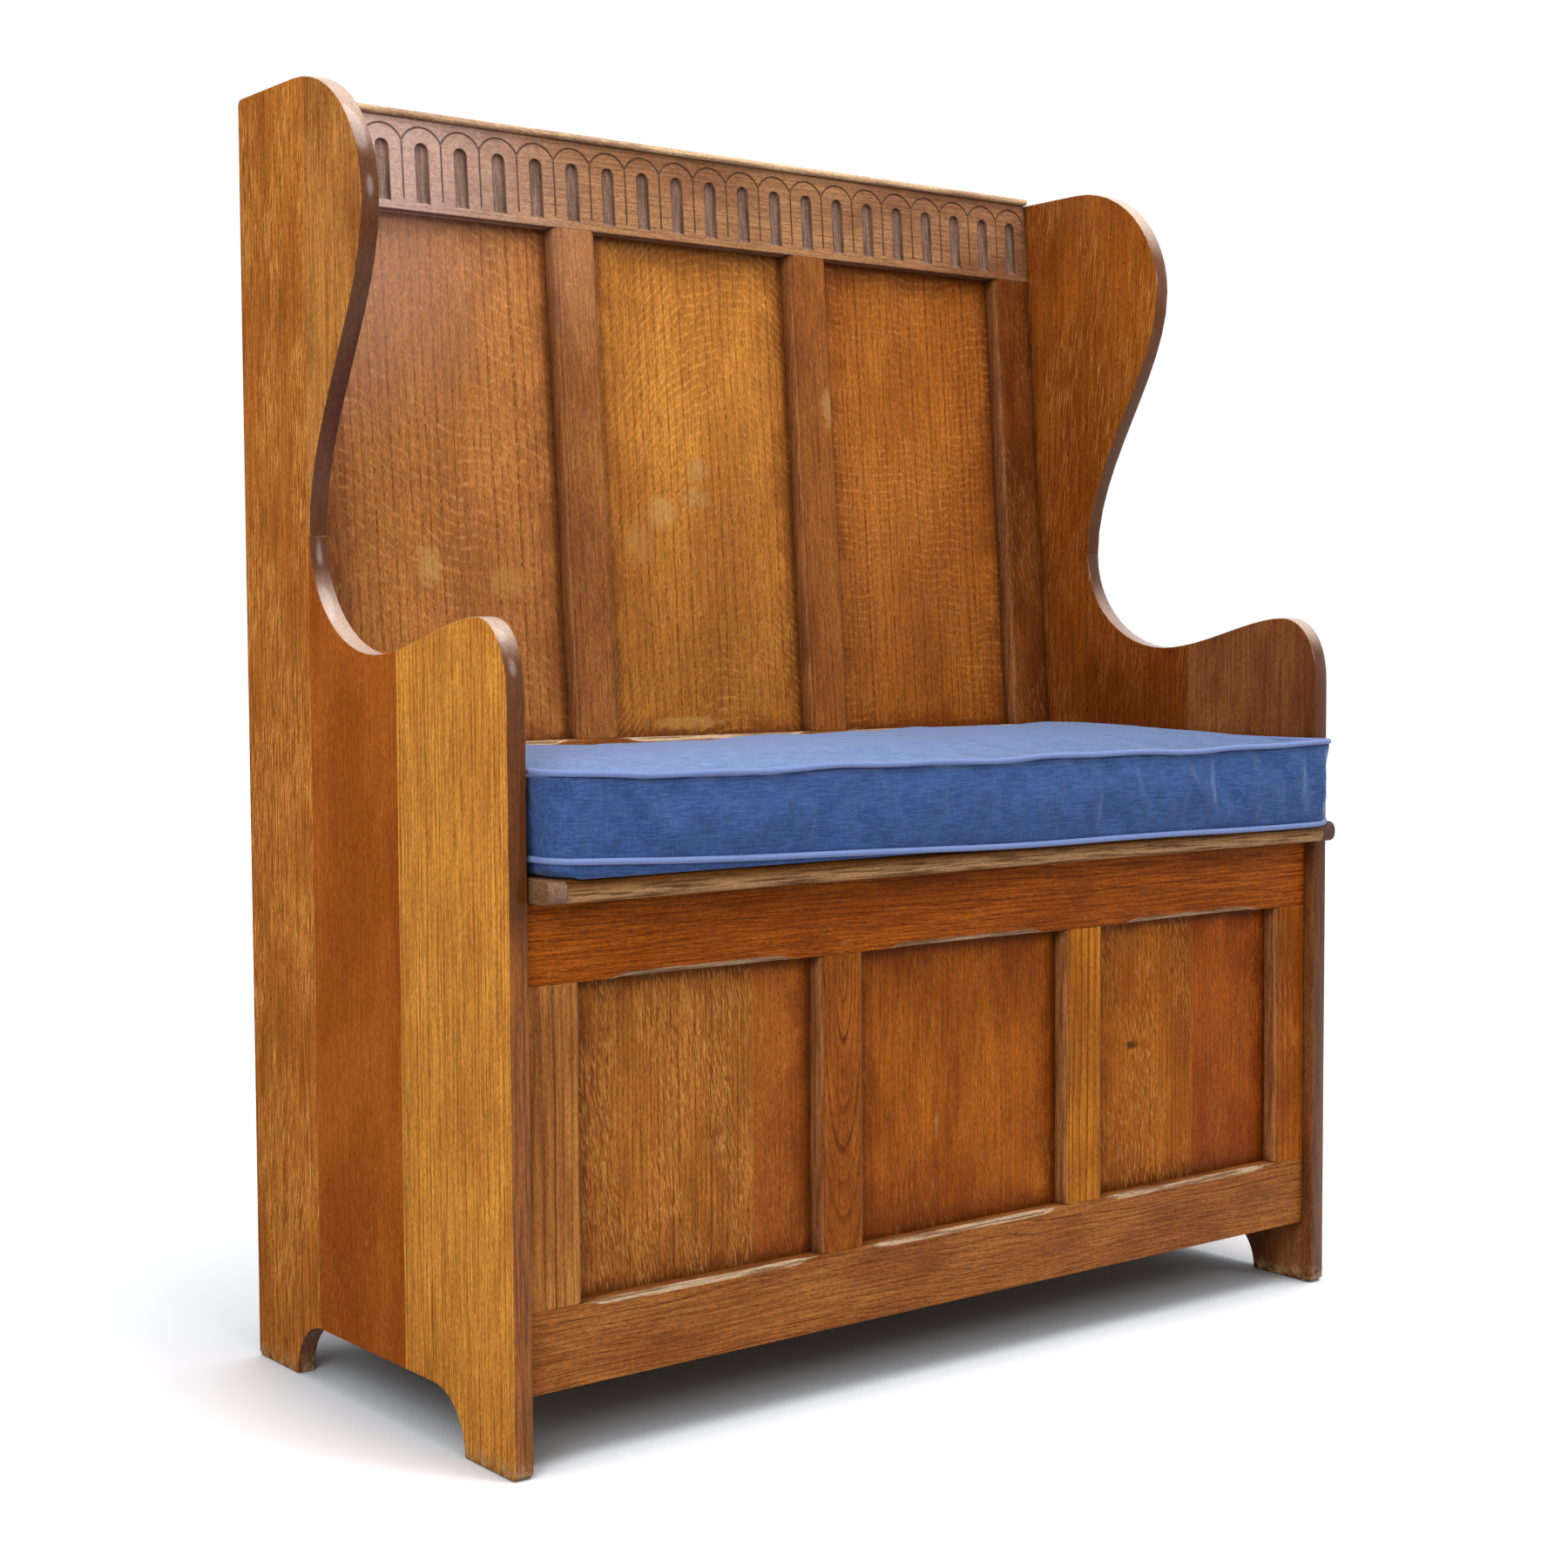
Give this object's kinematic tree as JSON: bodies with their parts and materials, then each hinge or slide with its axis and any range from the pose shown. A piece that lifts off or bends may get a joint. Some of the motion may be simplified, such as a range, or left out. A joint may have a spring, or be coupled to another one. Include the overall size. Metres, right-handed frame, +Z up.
{
  "type": "settle bench",
  "caption": "Oak box settle with shaped sides and wings, raked panelled back with an arcade frieze, panelled storage box, hinged lid seat and loose piped cushion.",
  "frame": {"origin": "on the floor at the middle of the bounding box: midway between the side boards' outer faces, and midway between the cushion's front and the side boards' rear edges", "axes": "+X along the bench to its right as seen from the front, +Y from the front to the back, +Z up"},
  "size_m": [0.96, 0.478, 1.1392],
  "materials": {
    "oak_side_front": "satin, polished",
    "oak_side_middle": "satin, polished",
    "oak_side_rear": "satin, polished",
    "oak_frame": "satin, polished",
    "oak_panel": "satin, polished",
    "oak_lid": "satin, worn",
    "oak_inside": "dry, unpolished",
    "hinge_brass": "tarnished",
    "cushion_cloth": "soft pile"
  },
  "bodies": {
    "settle": {"left_front_board": "oak_side_front", "left_middle_board": "oak_side_middle", "left_wing_board": "oak_side_middle", "left_rear_board": "oak_side_rear", "right_front_board": "oak_side_front", "right_middle_board": "oak_side_middle", "right_wing_board": "oak_side_middle", "right_rear_board": "oak_side_rear", "front_bottom_rail": "oak_frame", "front_top_rail": "oak_frame", "front_left_stile": "oak_frame", "front_muntin_1": "oak_frame", "front_muntin_2": "oak_frame", "front_right_stile": "oak_frame", "front_panel_1": "oak_panel", "front_panel_2": "oak_panel", "front_panel_3": "oak_panel", "back_bottom_rail": "oak_frame", "back_top_rail": "oak_frame", "back_left_stile": "oak_frame", "back_muntin_1": "oak_frame", "back_muntin_2": "oak_frame", "back_right_stile": "oak_frame", "back_panel_1": "oak_panel", "back_panel_2": "oak_panel", "back_panel_3": "oak_panel", "back_cap": "oak_lid", "hinge_rail": "oak_lid", "hinge_1_rail_leaf": "hinge_brass", "hinge_1_pin": "hinge_brass", "hinge_2_rail_leaf": "hinge_brass", "hinge_2_pin": "hinge_brass", "left_floor_bearer": "oak_inside", "left_lid_bearer": "oak_inside", "left_back_cleat": "oak_inside", "right_floor_bearer": "oak_inside", "right_lid_bearer": "oak_inside", "right_back_cleat": "oak_inside", "floor_board_1": "oak_inside", "floor_board_2": "oak_inside", "floor_board_3": "oak_inside", "box_back_board_1": "oak_inside", "box_back_board_2": "oak_inside", "box_back_board_3": "oak_inside"},
    "lid": {"lid_front_board": "oak_lid", "lid_rear_board": "oak_lid", "lid_left_cleat": "oak_lid", "lid_right_cleat": "oak_lid", "hinge_1_lid_leaf": "hinge_brass", "hinge_2_lid_leaf": "hinge_brass"},
    "cushion": {"seat_cushion": "cushion_cloth"}
  },
  "joints": [
    {"name": "lid_hinge", "type": "hinge", "parent": "settle", "child": "lid", "pos_m": [0, 0.082, 0.4683], "axis": [-1, 0, 0], "range_deg": [0, 90]},
    {"name": "cushion_tip", "type": "hinge", "parent": "settle", "child": "cushion", "pos_m": [0, 0.165, 0.5486], "axis": [-1, 0, 0], "range_deg": [0, 90]}
  ],
  "couplings": [
    {"joint": "cushion_tip", "follows": "lid_hinge", "ratio": 1}
  ]
}
